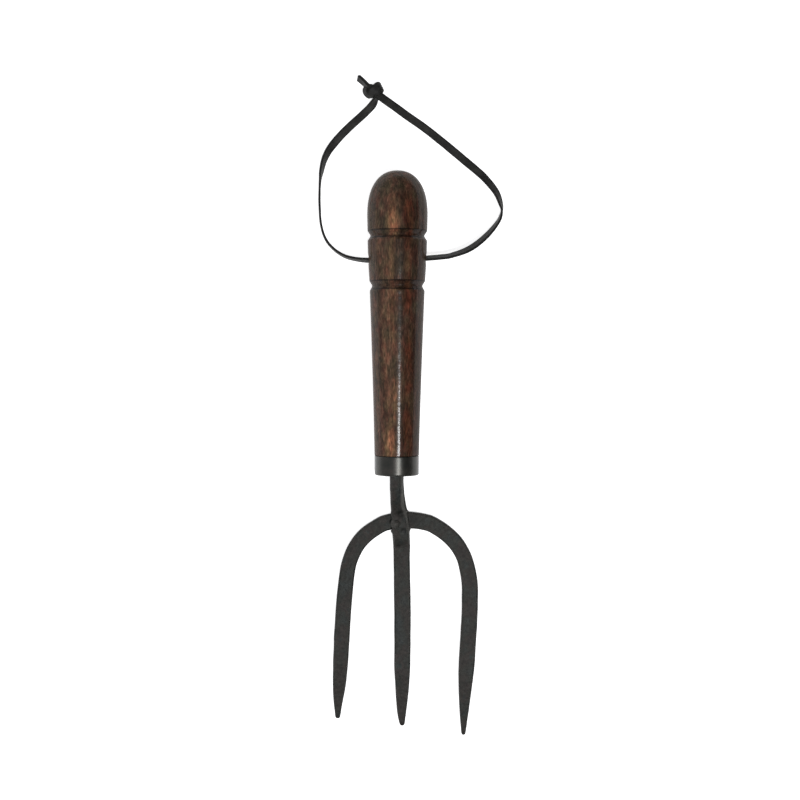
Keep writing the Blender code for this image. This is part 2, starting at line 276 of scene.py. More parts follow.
def handle_outline():
    """Down the outside from the knob's pole to the spigot, and up the tang's bore to its end."""
    dome_steps, taper_steps = 40, 50
    points = []
    for step in range(dome_steps + 1):
        turn = math.pi / 2 * (step / dome_steps) ** 1.3
        points.append(Vector((
            KNOB_RADIUS * math.sin(turn) ** (2 / DOME_POWER),
            DOME_START + (HANDLE_LENGTH - DOME_START) * max(math.cos(turn), 0.0) ** (2 / DOME_POWER),
        )))
    points += eased((
        (KNOB_RADIUS, DOME_START, 0), *BAND_CORNERS, (TAPER_END_RADIUS, TAPER_END, 0.2),
        (TAPER_END_RADIUS - 0.06, TAPER_END - 1.7, 0),
    ), steps=1)[1:]
    for step in range(taper_steps - 1, 0, -1):
        share = step / taper_steps
        points.append(Vector((
            WAIST_RADIUS + (TAPER_END_RADIUS - WAIST_RADIUS) * share**TAPER_CURVE, TAPER_END * share
        )))
    points += eased((
        (WAIST_RADIUS, 1.0, 0), (WAIST_RADIUS, SHOULDER_GAP, 0.3), (SPIGOT_RADIUS, SHOULDER_GAP, 0),
        (SPIGOT_RADIUS, -SPIGOT_LENGTH, 0.5), *((radius, height, 0) for radius, height in TANG_BORE),
    ))
    return points


def finish_tree(name):
    """A new material with its tree and its shader."""
    material = bpy.data.materials.new(name)
    material.use_nodes = True
    tree = material.node_tree
    shader = tree.nodes["Principled BSDF"]
    return material, tree, shader


def along_handle(tree):
    """Object coordinates in millimetres, centred and turned on the handle's axis, which becomes Z."""
    coordinates = tree.nodes.new("ShaderNodeTexCoord").outputs["Object"]
    return add_node(
        tree, "ShaderNodeMapping",
        {"Vector": coordinates, "Location": axis_start, "Rotation": axis_turn, "Scale": (MM, MM, MM)},
        vector_type="TEXTURE",
    ).outputs[0]


def noise_at(tree, where, stretch, detail=3.0, roughness=0.55, shift=0.0):
    """Noise with features of about stretch millimetres along each axis."""
    squeezed = add_node(
        tree, "ShaderNodeMapping",
        {
            "Vector": where, "Location": (shift, shift * 0.7, shift * 1.3),
            "Scale": tuple(1.0 / size for size in stretch),
        },
        vector_type="POINT",
    ).outputs[0]
    return add_node(
        tree, "ShaderNodeTexNoise",
        {"Vector": squeezed, "Scale": 1.0, "Detail": detail, "Roughness": roughness},
    ).outputs[0]


def ramp(tree, value, *stops):
    """A colour ramp of (place, colour or grey) stops."""
    node = add_node(tree, "ShaderNodeValToRGB", {"Fac": value})
    elements = node.color_ramp.elements
    while len(elements) < len(stops):
        elements.new(1.0)
    for element, (place, colour) in zip(elements, stops):
        element.position = place
        shade = (colour, colour, colour) if isinstance(colour, (int, float)) else colour
        element.color = (*shade, 1.0)
    return node.outputs[0]


def mixed(tree, share, first, second, blend="MIX"):
    node = tree.nodes.new("ShaderNodeMix")
    node.data_type = "RGBA"
    node.blend_type = blend
    feed(tree, node.inputs[0], share)
    for socket, colour in ((node.inputs[6], first), (node.inputs[7], second)):
        feed(tree, socket, (*colour, 1.0) if isinstance(colour, tuple) else colour)
    return node.outputs[2]


def shaded(tree, colour, value, *stops):
    """The colour times a ramp of this value."""
    return mixed(tree, 1.0, colour, ramp(tree, value, *stops), "MULTIPLY")


def add_bump(tree, shader, height, strength, distance, socket="Normal"):
    bump = add_node(
        tree, "ShaderNodeBump", {"Height": height, "Strength": strength, "Distance": distance}
    )
    tree.links.new(bump.outputs[0], shader.inputs[socket])


def length_of(tree, vector):
    return add_node(tree, "ShaderNodeVectorMath", {0: vector}, operation="LENGTH").outputs["Value"]


def worn_spot(tree, at, centre, reach):
    """1 at the centre of an egg-shaped spot of these half sizes, falling off to 0 at its edge."""
    spot = add_node(
        tree, "ShaderNodeMapping", {"Vector": at, "Location": centre, "Scale": reach},
        vector_type="TEXTURE",
    ).outputs[0]
    return ramp(tree, length_of(tree, spot), (0.15, 1.0), (0.95, 0.0))


def stained_wood():
    material, tree, shader = finish_tree("stained_and_lacquered_wood")
    at = along_handle(tree)
    place = axes_of(tree, at)
    # The board's figure runs lengthwise: grey brown on the left, a warm band beside the middle, then
    # a dark one and a red one. It wanders a little along the handle.
    wander = noise_at(tree, at, (16.0, 16.0, 30.0), detail=2.0, shift=2.6)
    bend = noise_at(tree, at, (5.0, 5.0, 26.0), shift=3.1)
    drift = math_node(tree, "SUBTRACT", math_node(tree, "ADD", wander, bend), 1.0)
    sideways = math_node(tree, "MULTIPLY_ADD", drift, 3.8, place["X"])
    figure = ramp(
        tree, math_node(tree, "MULTIPLY_ADD", sideways, 1 / 32, 0.5),
        (0.00, (0.060, 0.034, 0.022)), (0.25, (0.088, 0.050, 0.031)), (0.36, (0.145, 0.078, 0.044)),
        (0.44, (0.160, 0.079, 0.041)), (0.50, (0.100, 0.054, 0.033)), (0.58, (0.054, 0.028, 0.018)),
        (0.64, (0.092, 0.033, 0.017)), (0.70, (0.096, 0.034, 0.017)), (0.77, (0.040, 0.019, 0.012)),
        (1.00, (0.044, 0.022, 0.015)),
    )
    # Growth rings: the tree's heart lay under the handle, so that they show as long pointed arches.
    flat_at = math_node(tree, "V_MULTIPLY", at, (1.0, 1.0, 0.0))
    from_heart = math_node(tree, "V_ADD", flat_at, (HEART_AT[0], -HEART_AT[1], 0.0))
    rings = math_node(tree, "DIVIDE", length_of(tree, from_heart), RING_WIDTH)
    years = math_node(tree, "MULTIPLY_ADD", bend, 1.5, rings)
    year = math_node(tree, "FRACT", math_node(tree, "ADD", years, RING_START))
    wood = shaded(
        tree, figure, year,
        (0.00, (1.16, 1.10, 1.06)), (0.34, (0.96, 0.96, 0.96)), (0.62, (0.80, 0.78, 0.78)),
        (0.84, (0.72, 0.66, 0.64)), (1.00, (1.16, 1.10, 1.06)),
    )
    # Stain: it takes unevenly, in lengthwise patches, and pools dark on the end grain of the knob.
    cloud = noise_at(tree, at, (6.0, 6.0, 20.0), detail=4.0, roughness=0.6)
    pooled = ramp(tree, cloud, (0.38, 0.75), (0.54, 0.22), (0.70, 0.0))
    on_end = add_node(
        tree, "ShaderNodeMapRange", {"Value": place["Z"], "From Min": 127.0, "From Max": 142.0},
        interpolation_type="SMOOTHSTEP",
    ).outputs[0]
    soaked = math_node(tree, "MAXIMUM", pooled, math_node(tree, "MULTIPLY", on_end, 0.75))
    stain = mixed(tree, soaked, wood, (0.044, 0.031, 0.020))
    # The hand has rubbed the front of the knob and the grip's lower end back to warmer wood.
    for centre, reach, share in WORN_SPOTS:
        lightened = math_node(tree, "MULTIPLY", worn_spot(tree, at, centre, reach), share)
        stain = mixed(tree, lightened, stain, (0.290, 0.146, 0.072))
    blotch = noise_at(tree, at, (2.2, 2.2, 6.0), roughness=0.6, shift=7.7)
    colour = shaded(tree, stain, blotch, (0.32, 0.64), (0.50, 1.0), (0.68, 1.42))
    # Pores: short dark dashes along the grain, and paler fibre between them.
    pores = noise_at(tree, at, (0.80, 0.80, 3.8), detail=2.0, roughness=0.5, shift=1.3)
    colour = shaded(tree, colour, pores, (0.34, 0.64), (0.50, 1.0), (0.66, 1.38))
    fine = noise_at(tree, at, (0.36, 0.36, 1.8), detail=2.0, shift=5.0)
    colour = shaded(tree, colour, fine, (0.34, 0.64), (0.66, 1.36))
    # The stain's hue drifts between red and olive.
    hue = noise_at(tree, at, (3.2, 3.2, 7.0), detail=2.0, shift=6.3)
    colour = shaded(
        tree, colour, hue,
        (0.36, (1.15, 0.92, 0.95)), (0.50, (1.01, 1.0, 1.0)), (0.64, (0.88, 1.00, 0.92)),
    )
    # Painted shade in the two grooves, darkest in their corners.
    for middle_at, half_width in GROOVES:
        from_middle = math_node(tree, "ABSOLUTE", math_node(tree, "SUBTRACT", place["Z"], middle_at))
        past_corner = math_node(tree, "SUBTRACT", from_middle, half_width)
        outside = math_node(tree, "MULTIPLY_ADD", past_corner, 0.5, 0.5)
        colour = shaded(tree, colour, outside, (0.22, 0.66), (0.42, 0.22), (0.57, 0.22), (0.77, 1.0))
    ripple = noise_at(tree, at, (3.5, 3.5, 2.2), detail=1.0, shift=9.0)
    height = math_node(tree, "MULTIPLY_ADD", pores, 0.45, ripple)
    add_bump(tree, shader, height, 0.22, 0.0004)
    add_bump(tree, shader, height, 0.12, 0.0003, "Coat Normal")
    feed_all(tree, shader, {
        "Base Color": colour, "Roughness": ramp(tree, blotch, (0.3, 0.42), (0.7, 0.55)),
        "IOR": 1.40, "Specular IOR Level": 0.06, "Coat Weight": 0.11, "Coat Roughness": 0.155,
        "Coat IOR": 2.0,
    })
    return material


lathe = lathe_tree()
wood_finish = stained_wood()
handle = made_by(
    lathe, profile_mesh("handle_outline", handle_outline()), "turned_handle",
    steps_around=128, finish=wood_finish,
)
# The cross bore, with its mouths eased by a countersink.
cutter = made_by(
    lathe,
    profile_mesh("drill", [
        Vector(point) for point in (
            (0.0, SINK_END), (CROSS_BORE_RADIUS + COUNTERSINK, SINK_END),
            (CROSS_BORE_RADIUS, SINK_START), (CROSS_BORE_RADIUS, -SINK_START),
            (CROSS_BORE_RADIUS + COUNTERSINK, -SINK_END), (0.0, -SINK_END),
        )
    ]),
    "drill", steps_around=40, finish=wood_finish,
)
cutter.data.transform(
    Matrix.Translation((0.0, 0.0, BORE_ALONG * MM)) @ Matrix.Rotation(math.pi / 2, 4, "Y")
)
boring = handle.modifiers.new("bore", "BOOLEAN")
boring.object, boring.operation, boring.solver = cutter, "DIFFERENCE", "EXACT"
graph = bpy.context.evaluated_depsgraph_get()
bored = bpy.data.meshes.new_from_object(handle.evaluated_get(graph))
handle.modifiers.clear()
handle.data = bored
bpy.data.objects.remove(cutter)
handle.data.transform(handle_place)
tidy_faces(handle, 14.0)
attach(handle, "fork")
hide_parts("handle")

# ----------------------------------------------------------
# The ferrule: a blackened steel cup, spun and pressed over the handle's spigot so that the wood can't
# split. Its lower corner is rounded over, and the tang comes out through its floor.
# ----------------------------------------------------------
FERRULE_RADIUS, FERRULE_LENGTH, FERRULE_WALL, FERRULE_FLOOR = 11.8, 10.4, 1.2, 1.4
TANG_HOLE_RADIUS, RIM_AT = 3.55, -0.15


def blackened_steel():
    material, tree, shader = finish_tree("blackened_ferrule_steel")
    at = along_handle(tree)
    smoke = noise_at(tree, at, (5.0, 5.0, 3.5), detail=4.0, shift=2.0)
    colour = ramp(
        tree, smoke,
        (0.30, (0.024, 0.026, 0.022)), (0.55, (0.038, 0.036, 0.031)), (0.78, (0.058, 0.049, 0.043)),
    )
    # Fine lines round the cup, left by the polishing on the lathe.
    lines = noise_at(tree, at, (14.0, 14.0, 0.09), detail=2.0, shift=4.0)
    colour = shaded(tree, colour, lines, (0.3, 0.86), (0.7, 1.12))
    add_bump(tree, shader, math_node(tree, "ADD", lines, smoke), 0.06, 0.0002)
    feed_all(tree, shader, {
        "Base Color": colour, "Roughness": ramp(tree, smoke, (0.3, 0.30), (0.75, 0.36)),
        "Metallic": 0.55, "Specular IOR Level": 0.65,
    })
    return material


inner = FERRULE_RADIUS - FERRULE_WALL
floor_at = FERRULE_FLOOR - FERRULE_LENGTH
ferrule_line = eased((
    (inner, -0.9, 0), (inner, RIM_AT, 0.12), (FERRULE_RADIUS, RIM_AT, 0.22),
    (FERRULE_RADIUS, -FERRULE_LENGTH, 1.0), (TANG_HOLE_RADIUS, -FERRULE_LENGTH, 0.3),
    (TANG_HOLE_RADIUS, floor_at, 0), (inner, floor_at, 0), (inner, -0.9, 0),
), steps=6)
ferrule = made_by(
    lathe, profile_mesh("ferrule_outline", ferrule_line, 0.9), "ferrule_cup",
    steps_around=112, finish=blackened_steel(),
)
ferrule.data.transform(handle_place)
tidy_faces(ferrule, 50.0)
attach(ferrule, "fork")
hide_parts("ferrule")

# ----------------------------------------------------------
# The middle tine: one forging from the tang in the handle, over a cranked shank and a flat pad for
# the rivet, down a joggle to the tine. Iron bar drawn out under the hammer and left black.
# ----------------------------------------------------------
# (x, y, centre height, half width, half thickness, chamfer) down the bar.
MIDDLE_STATIONS = (
    (-4.70, -10.2, 11.98, 3.45, 3.45, 0.9),
    (-4.70, -10.9, 11.95, 3.70, 3.50, 1.0),
    (-4.70, -14.5, 11.60, 3.70, 3.40, 1.1),
    (-4.40, -20.0, 10.40, 3.80, 3.15, 1.15),
    (-3.95, -25.5, 8.70, 4.10, 2.80, 1.0),
    (-3.20, -31.0, 7.10, 4.40, 2.15, 0.8),
    (-2.70, -35.0, 6.70, 4.50, 1.90, 0.7),
    (-2.45, -39.5, 6.70, 4.70, 1.90, 0.7),
    (-2.25, -43.2, 5.35, 4.60, 2.10, 0.8),
    (-2.10, -46.5, 3.20, 4.55, 2.20, 0.8),
    (-2.05, -49.6, 2.30, 4.50, 2.25, 0.8),
    (-1.95, -57.0, 2.30, 4.40, 2.25, 0.8),
    (-1.55, -86.0, 2.30, 4.50, 2.25, 0.8),
    (-1.65, -114.0, 2.30, 4.33, 2.25, 0.8),
    (-1.70, -122.0, 2.00, 3.95, 1.95, 0.7),
    (-1.85, -132.0, 1.60, 3.15, 1.55, 0.6),
    (-1.95, -140.0, 1.25, 2.30, 1.20, 0.5),
    (-1.80, -144.4, 1.00, 1.50, 0.95, 0.4),
    (-1.75, -145.5, 0.92, 1.05, 0.85, 0.35),
    (-1.75, -145.95, 0.90, 0.45, 0.50, 0.15),
)


def smooth_stations(keys, spacing):
    """Stations no further apart than spacing on a smooth curve through the keys, keys included."""
    keys = [Vector(key) for key in keys]
    at = [0.0]
    for before, after in zip(keys, keys[1:]):
        at.append(at[-1] + (after - before).length)
    slopes = []
    for i in range(len(keys)):
        low, high = max(i - 1, 0), min(i + 1, len(keys) - 1)
        slopes.append((keys[high] - keys[low]) / (at[high] - at[low]))
    stations = []
    for i in range(len(keys) - 1):
        span = at[i + 1] - at[i]
        pieces = max(1, math.ceil(span / spacing))
        for piece in range(pieces):
            u = piece / pieces
            stations.append(
                keys[i] * (2 * u**3 - 3 * u**2 + 1)
                + slopes[i] * span * (u**3 - 2 * u**2 + u)
                + keys[i + 1] * (3 * u**2 - 2 * u**3)
                + slopes[i + 1] * span * (u**3 - u**2)
            )
    return stations + [keys[-1]]


def bar_tree():
    """A bar that follows a path. The path's points say which way is across, and the bar's half width,
    half thickness and chamfer there; the section's points say which side or chamfer they are on."""
    tree, given, end = add_tree("bar_along_a_path", (
        ("Path", "Geometry"), ("Section", "Object"), ("Dent Depth", "Float"), ("Dent Size", "Float"),
        ("Seed", "Float"), ("Finish", "Material"),
    ))
    here = tree.nodes.new("GeometryNodeInputPosition").outputs[0]

    def attribute(name, kind):
        return add_node(
            tree, "GeometryNodeInputNamedAttribute", {"Name": name}, data_type=kind
        ).outputs["Attribute"]

    line = add_node(tree, "GeometryNodeMeshToCurve", {"Mesh": given["Path"]})
    path = keep_on_points(
        tree, line.outputs[0], centre=here, across=attribute("across", "FLOAT_VECTOR"),
        up=attribute("up", "FLOAT_VECTOR"), sizes=attribute("sizes", "FLOAT_VECTOR"),
    )
    outline_object = add_node(tree, "GeometryNodeObjectInfo", {"Object": given["Section"]})
    outline = add_node(tree, "GeometryNodeMeshToCurve", {"Mesh": outline_object.outputs["Geometry"]})
    section = keep_on_points(
        tree, outline.outputs[0], side=attribute("side", "FLOAT_VECTOR"),
        cut=attribute("cut", "FLOAT_VECTOR"),
    )
    swept = add_node(
        tree, "GeometryNodeCurveToMesh",
        {"Curve": path["Geometry"], "Profile Curve": section["Geometry"], "Fill Caps": True},
    )
    side, cut = axes_of(tree, section["side"]), axes_of(tree, section["cut"])
    sizes = axes_of(tree, path["sizes"])

    def reach(axis, size):
        chamfered = math_node(tree, "MULTIPLY", cut[axis], sizes["Z"])
        return math_node(tree, "MULTIPLY_ADD", side[axis], sizes[size], chamfered)

    def scaled(vector, factor):
        return add_node(
            tree, "ShaderNodeVectorMath", {0: vector, "Scale": factor}, operation="SCALE"
        ).outputs[0]

    sideways = scaled(path["across"], reach("X", "X"))
    upwards = scaled(path["up"], reach("Y", "Y"))
    place = math_node(tree, "V_ADD", path["centre"], math_node(tree, "V_ADD", sideways, upwards))
    bar = add_node(tree, "GeometryNodeSetPosition", {"Geometry": swept.outputs[0], "Position": place})
    # Hammer marks: shallow round dents that meet in soft ridges, over a slow unevenness.
    spread = math_node(tree, "DIVIDE", 1.0, given["Dent Size"])
    dents = add_node(
        tree, "ShaderNodeTexVoronoi", {"Vector": here, "Scale": spread, "W": given["Seed"]},
        voronoi_dimensions="4D", feature="SMOOTH_F1",
    ).outputs["Distance"]
    slow = add_node(
        tree, "ShaderNodeTexNoise",
        {
            "Vector": here, "Scale": math_node(tree, "MULTIPLY", spread, 0.6), "W": given["Seed"],
            "Detail": 1.0,
        },
        noise_dimensions="4D",
    ).outputs[0]
    dented = math_node(tree, "SUBTRACT", math_node(tree, "ADD", dents, slow), 1.05)
    push = scaled(
        tree.nodes.new("GeometryNodeInputNormal").outputs[0],
        math_node(tree, "MULTIPLY", dented, given["Dent Depth"]),
    )
    hammered = add_node(tree, "GeometryNodeSetPosition", {"Geometry": bar.outputs[0], "Offset": push})
    level = axes_of(tree, here)
    grounded = add_node(
        tree, "ShaderNodeCombineXYZ",
        {"X": level["X"], "Y": level["Y"], "Z": math_node(tree, "MAXIMUM", level["Z"], 0.00002)},
    )
    rested = add_node(
        tree, "GeometryNodeSetPosition", {"Geometry": hammered.outputs[0], "Position": grounded.outputs[0]}
    )
    return end_tree(tree, rested, given, end)


def write_attribute(mesh, name, kind, values):
    layer = mesh.attributes.new(name, kind, "POINT")
    for item, value in zip(layer.data, values):
        if kind == "FLOAT":
            item.value = value
        else:
            item.vector = value


def bar_section(name, flat_parts, edge_parts, round_cut=0.0):
    """A closed outline for bar_tree: four flats with a chamfer between each two."""
    corners = ((1, -1), (1, 1), (-1, 1), (-1, -1))
    side, cut, edge = [], [], []
    for number, corner in enumerate(corners):
        following = corners[(number + 1) % 4]
        upright = corner[0] == following[0]
        parts = edge_parts if upright else flat_parts
        start_cut = (0, -corner[1]) if upright else (-corner[0], 0)
        end_cut = (0, -following[1]) if upright else (-following[0], 0)
        for part in range(parts):
            share = part / (parts - 1)
            side.append(Vector((*corner, 0)).lerp(Vector((*following, 0)), share))
            cut.append(Vector((*start_cut, 0)).lerp(Vector((*end_cut, 0)), share))
            edge.append(1.0 if part in (0, parts - 1) else 0.0)
        # The chamfer's own middle, pushed out a little to round it.
        side.append((following[0], following[1], 0))
        inward = 0.5 - round_cut
        cut.append((-following[0] * inward, -following[1] * inward, 0))
        edge.append(1.0)
    mesh = bpy.data.meshes.new(name)
    count = len(side)
    turns = [2 * math.pi * i / count for i in range(count)]
    mesh.from_pydata(
        [(math.cos(turn), math.sin(turn), 0) for turn in turns],
        [(i, (i + 1) % count) for i in range(count)], [],
    )
    write_attribute(mesh, "side", "FLOAT_VECTOR", side)
    write_attribute(mesh, "cut", "FLOAT_VECTOR", cut)
    write_attribute(mesh, "edge", "FLOAT", edge)
    return new_object(name, mesh)


def path_mesh(name, stations):
    """A path for bar_tree from (centre, across, up, half width, half thickness, chamfer) stations."""
    mesh = bpy.data.meshes.new(name)
    mesh.from_pydata(
        [tuple(station[0] * MM) for station in stations],
        [(i, i + 1) for i in range(len(stations) - 1)], [],
    )
    write_attribute(mesh, "across", "FLOAT_VECTOR", [station[1] for station in stations])
    write_attribute(mesh, "up", "FLOAT_VECTOR", [station[2] for station in stations])
    write_attribute(mesh, "sizes", "FLOAT_VECTOR", [Vector(station[3:6]) * MM for station in stations])
    return mesh


def press(piece, marks):
    """Presses (x, y, radius, depth, darkness) hollows into what faces up; a negative depth raises it. The
    darkness is dark scale and painted shade, kept on the points for the iron's colour.
    """
    darkened_share = [0.0] * len(piece.data.vertices)
    for vertex in piece.data.vertices:
        if vertex.normal.z < 0.2:
            continue
        for x, y, radius, depth, soot_and_painted_shade in marks:
            far = math.hypot(vertex.co.x / MM - x, vertex.co.y / MM - y) / radius
            if far < 2.5:
                share = math.exp(-far * far)
                vertex.co.z -= depth * MM * share
                darkened_share[vertex.index] = max(darkened_share[vertex.index], soot_and_painted_shade * share)
    write_attribute(piece.data, "soot_and_painted_shade", "FLOAT", darkened_share)
    piece.data.update()


def in_millimetres(tree):
    """Object coordinates in millimetres."""
    coordinates = tree.nodes.new("ShaderNodeTexCoord").outputs["Object"]
    return add_node(
        tree, "ShaderNodeMapping", {"Vector": coordinates, "Scale": (MM, MM, MM)}, vector_type="TEXTURE"
    ).outputs[0]


def marked(tree, name):
    """The share from 0 to 1 that the mesh itself carries under this name."""
    return add_node(tree, "ShaderNodeAttribute", attribute_name=name).outputs["Fac"]


def forged_iron():
    material, tree, shader = finish_tree("black_forged_iron")
    at = in_millimetres(tree)
    patches = noise_at(tree, at, (6.0, 8.0, 6.0), detail=5.0, roughness=0.6)
    scale = ramp(
        tree, patches,
        (0.30, (0.010, 0.0145, 0.0140)), (0.45, (0.019, 0.0200, 0.0165)),
        (0.58, (0.030, 0.0245, 0.0215)), (0.74, (0.012, 0.0210, 0.0200)),
    )
    grit = noise_at(tree, at, (0.45, 0.45, 0.45), roughness=0.6, shift=2.2)
    mottle = noise_at(tree, at, (1.6, 1.6, 1.6), detail=2.0, roughness=0.6, shift=8.1)
    colour = shaded(tree, scale, grit, (0.30, 0.70), (0.55, 1.0), (0.75, 1.25))
    colour = shaded(tree, colour, mottle, (0.32, 0.66), (0.66, 1.34))
    # The scale is worn off the edges in places. The lightened share paints a highlight on the right-hand
    # facet and painted light on the joggle, and gives the rivet a lighter colour. The dark share that
    # press() keeps is dark scale and painted shade in the hollows.
    bare = ramp(tree, patches, (0.40, 0.06), (0.65, 0.48))
    worn = math_node(tree, "MULTIPLY", marked(tree, "edge"), bare)
    colour = mixed(tree, worn, colour, (0.075, 0.073, 0.068))
    lightened = math_node(tree, "MULTIPLY", marked(tree, "lightened"), 0.85)
    colour = mixed(tree, lightened, colour, (0.115, 0.112, 0.102))
    colour = mixed(tree, marked(tree, "soot_and_painted_shade"), colour, (0.006, 0.0055, 0.005))
    pits = noise_at(tree, at, (1.5, 1.5, 1.5), detail=2.0, shift=6.0)
    add_bump(tree, shader, math_node(tree, "MULTIPLY_ADD", grit, 0.5, pits), 0.5, 0.0005)
    feed_all(tree, shader, {
        "Base Color": colour,
        "Roughness": ramp(tree, patches, (0.30, 0.46), (0.55, 0.58), (0.75, 0.50)),
        "Metallic": 0.3, "Specular IOR Level": 0.35,
    })
    return material


bar_maker = bar_tree()
iron = forged_iron()
iron_section = bar_section("iron_section", flat_parts=17, edge_parts=5, round_cut=0.08)


def upright_stations(rows, sideways):
    """Stations of a bar in the plane of its own side: it bends up and down, and stays level across."""
    stations = []
    for i, (x, y, z, half_width, half_thickness, chamfer) in enumerate(rows):
        before, after = rows[max(i - 1, 0)], rows[min(i + 1, len(rows) - 1)]
        along = Vector((0.0, after[1] - before[1], after[2] - before[2])).normalized()
        up = sideways.cross(along)
        up = up if up.z > 0 else -up
        centre = Vector((x, y, max(z, half_thickness)))
        stations.append((centre, sideways, up, half_width, half_thickness, chamfer))
    return stations


def axis_point(along):
    return (axis_start + axis_way * along * MM) / MM


tang = [(*axis_point(along), half, half, 0.35) for along, half in ((70.0, 1.2), (40.0, 1.7), (-9.9, 2.3))]
middle_rows = tang + [tuple(row) for row in smooth_stations(MIDDLE_STATIONS, 0.6)]
middle = made_by(
    bar_maker, path_mesh("middle_path", upright_stations(middle_rows, Vector((1.0, 0.0, 0.0)))),
    "middle_tine", section=iron_section, dent_depth=0.00035, dent_size=0.0062, seed=1.7, finish=iron,
)
# Hammer hollows and raised spots on the top. Their dark shares paint dark scale and painted shade into the
# hollows, strongest in the pocket above the rivet.
press(middle, (
    (-3.0, -31.4, 1.5, 0.8, 0.75), (-1.4, -30.4, 1.1, 0.4, 0.4), (-1.0, -40.2, 1.4, 0.6, 0.45),
    (-3.95, -48.7, 0.75, 0.5, 0.9), (-4.6, -45.2, 1.2, 0.4, 0.2), (-0.5, -34.8, 1.3, -0.4, 0.0),
    (-0.4, -32.6, 1.0, -0.35, 0.0), (-5.1, -36.5, 3.4, -0.45, 0.0), (-5.0, -28.0, 1.6, 0.2, 0.0),
))
# The right-hand edge was hammered to a broad facet, which narrows past the pad; a painted highlight makes
# it brighter than the rest: (y, the facet's upper line's x) down the bar.
FACET_LINE = (
    (-10.0, -3.1), (-14.0, -3.1), (-27.0, -2.7), (-31.5, -0.9), (-37.0, 0.4), (-43.0, 1.3), (-48.0, 2.0)
)
FACET_SLOPE, FACET_BORDER, SHANK_HIGHLIGHT, FACET_HIGHLIGHT, SHANK_END = 0.75, 0.6, 0.55, 0.9, -20.0
# The joggle below the pad gets painted light too, lighter against the shading of its slope.
JOGGLE_AT, JOGGLE_REACH, JOGGLE_PAINTED_LIGHT = -44.5, 3.5, 0.3
# Where its sides run into the arch, the middle tine spreads a little: (y, side, spread).
SPREADS = ((-30.0, 1, 0.7), (-30.8, -1, 0.35), (-39.5, 1, 0.55), (-40.6, -1, 0.8))
SPREAD_REACH = 0.8
# How far a normal must lean upwards, or sideways, to count as the bar's top, or as its side.
LEAN = 0.3
# Painted highlight on the facet and painted light on the joggle, kept on the points as a share that the
# iron's colour reads.
lightened = [0.0] * len(middle.data.vertices)
for vertex in middle.data.vertices:
    x, y = vertex.co.x / MM, vertex.co.y / MM
    for (y0, x0), (y1, x1) in zip(FACET_LINE, FACET_LINE[1:]):
        past = x - (x0 + (x1 - x0) * (y - y0) / (y1 - y0))
        if y1 <= y <= y0 and past > 0.0 and vertex.normal.z > LEAN:
            vertex.co.z -= past * FACET_SLOPE * MM
            share = SHANK_HIGHLIGHT if y > SHANK_END else FACET_HIGHLIGHT
            lightened[vertex.index] = min(past / FACET_BORDER, 1.0) * share
    nearness = 1.0 - abs(y - JOGGLE_AT) / JOGGLE_REACH
    if nearness > 0.0 and vertex.normal.z > LEAN:
        lightened[vertex.index] = max(lightened[vertex.index], JOGGLE_PAINTED_LIGHT * nearness)
    for spread_y, side, spread in SPREADS:
        if side * vertex.normal.x > LEAN:
            vertex.co.x += side * spread * MM * math.exp(-(((y - spread_y) / SPREAD_REACH) ** 2))
write_attribute(middle.data, "lightened", "FLOAT", lightened)
tidy_faces(middle, 60.0)
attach(middle, "fork")
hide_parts("centre_tine")

# ----------------------------------------------------------
# The outer tines: a second iron bar, flat forged and bent to a U, which passes under the pad of the
# middle tine. Each end is drawn out to a blunt point.
# ----------------------------------------------------------
# (x, y, half width) from the left tip over the arch to the right tip.
ARCH_ROUTE = (
    (-36.6, -142.2, 1.20), (-36.2, -132.0, 2.60), (-35.5, -122.0, 3.60), (-34.9, -112.0, 3.98),
    (-34.0, -94.0, 4.20), (-32.8, -76.0, 4.15), (-30.8, -60.0, 4.08), (-28.5, -53.0, 4.15),
    (-25.4, -47.5, 4.20), (-21.4, -43.0, 4.25), (-16.3, -39.3, 4.18), (-10.6, -36.4, 4.25),
    (0.6, -34.85, 4.42), (12.0, -36.4, 4.28), (18.1, -39.5, 4.28), (23.2, -43.2, 4.25),
    (27.4, -47.7, 4.20), (30.8, -53.3, 4.20), (33.0, -59.5, 4.25), (34.6, -69.0, 4.33),
    (34.7, -80.0, 4.30), (34.1, -95.0, 4.26), (33.1, -111.0, 4.30), (32.4, -122.0, 3.78),
    (31.8, -134.0, 2.80), (31.3, -151.1, 1.00),
)
BAR_HALF, BAR_CHAMFER, TIP_TAPER, TIP_HALF, TIP_ROUND, TIP_BLUNT = 2.25, 0.8, 30.0, 0.9, 1.1, 0.25


def level_stations(rows):
    """Stations of a bar that lies flat and bends sideways, drawn out and rounded at both tips."""
    stations = []
    for i, (x, y, half_width) in enumerate(rows):
        before, after = rows[max(i - 1, 0)], rows[min(i + 1, len(rows) - 1)]
        along = Vector((after[0] - before[0], after[1] - before[1], 0.0)).normalized()
        tip = rows[0] if i < len(rows) / 2 else rows[-1]
        from_tip = y - tip[1]
        half_thickness = TIP_HALF + (BAR_HALF - TIP_HALF) * min(from_tip / TIP_TAPER, 1.0)
        chamfer = BAR_CHAMFER * half_thickness / BAR_HALF
        if from_tip < TIP_ROUND:
            rounding = max(math.sqrt(1 - (1 - from_tip / TIP_ROUND) ** 2), TIP_BLUNT)
            half_width, half_thickness = half_width * rounding, half_thickness * rounding
            chamfer *= rounding
        centre = Vector((x, y, max(half_thickness, TIP_HALF * 0.9)))
        across = Vector((along.y, -along.x, 0.0))
        stations.append((
            centre, across, Vector((0.0, 0.0, 1.0)), half_width, half_thickness,
            min(chamfer, 0.6 * half_width),
        ))
    return stations


